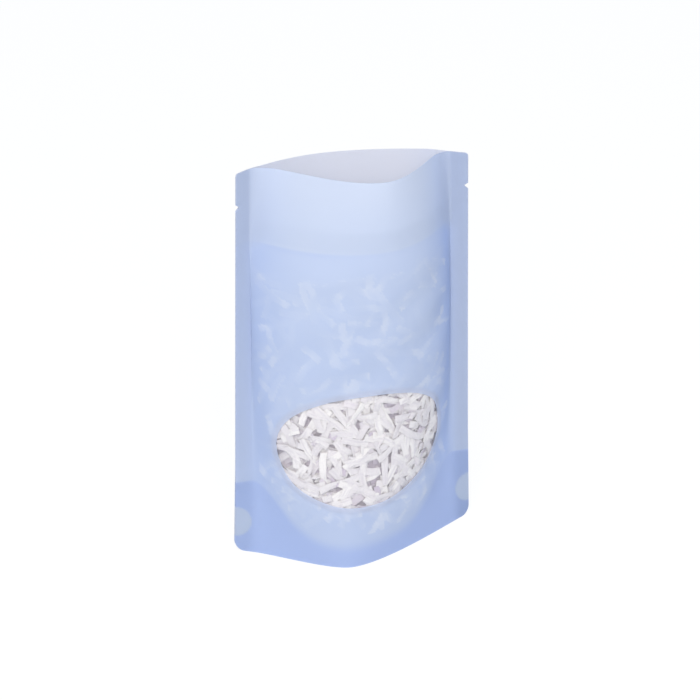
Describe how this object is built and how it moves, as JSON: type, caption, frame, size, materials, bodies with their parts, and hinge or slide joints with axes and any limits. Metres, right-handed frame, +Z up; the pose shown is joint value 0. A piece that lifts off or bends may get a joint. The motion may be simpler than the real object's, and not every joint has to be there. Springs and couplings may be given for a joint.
{
  "type": "resealable stand-up bag",
  "caption": "Open stand-up bag of frosted film with an oval clear window, press-to-close strip, opened foot gusset and a fill of shredded paper",
  "frame": {"origin": "the middle of the foot, on the surface that the bag stands on", "axes": "+Z up from the foot to the mouth, X along the width from side seal to side seal, the window faces -Y"},
  "size_m": [0.1214, 0.0654, 0.2],
  "materials": {
    "frosted_film": "frosted",
    "back_film": "frosted",
    "gusset_film": "frosted",
    "clear_film": "clear",
    "rib_strip": "satin",
    "groove_strip": "satin",
    "white_paper": "paper"
  },
  "bodies": {
    "root": {"front_panel": "frosted_film", "back_panel": "back_film", "bottom_gusset": "gusset_film", "window_film": "clear_film", "zipper_rib_strip": "rib_strip", "zipper_groove_strip": "groove_strip", "shredded_paper": "white_paper"}
  },
  "joints": []
}
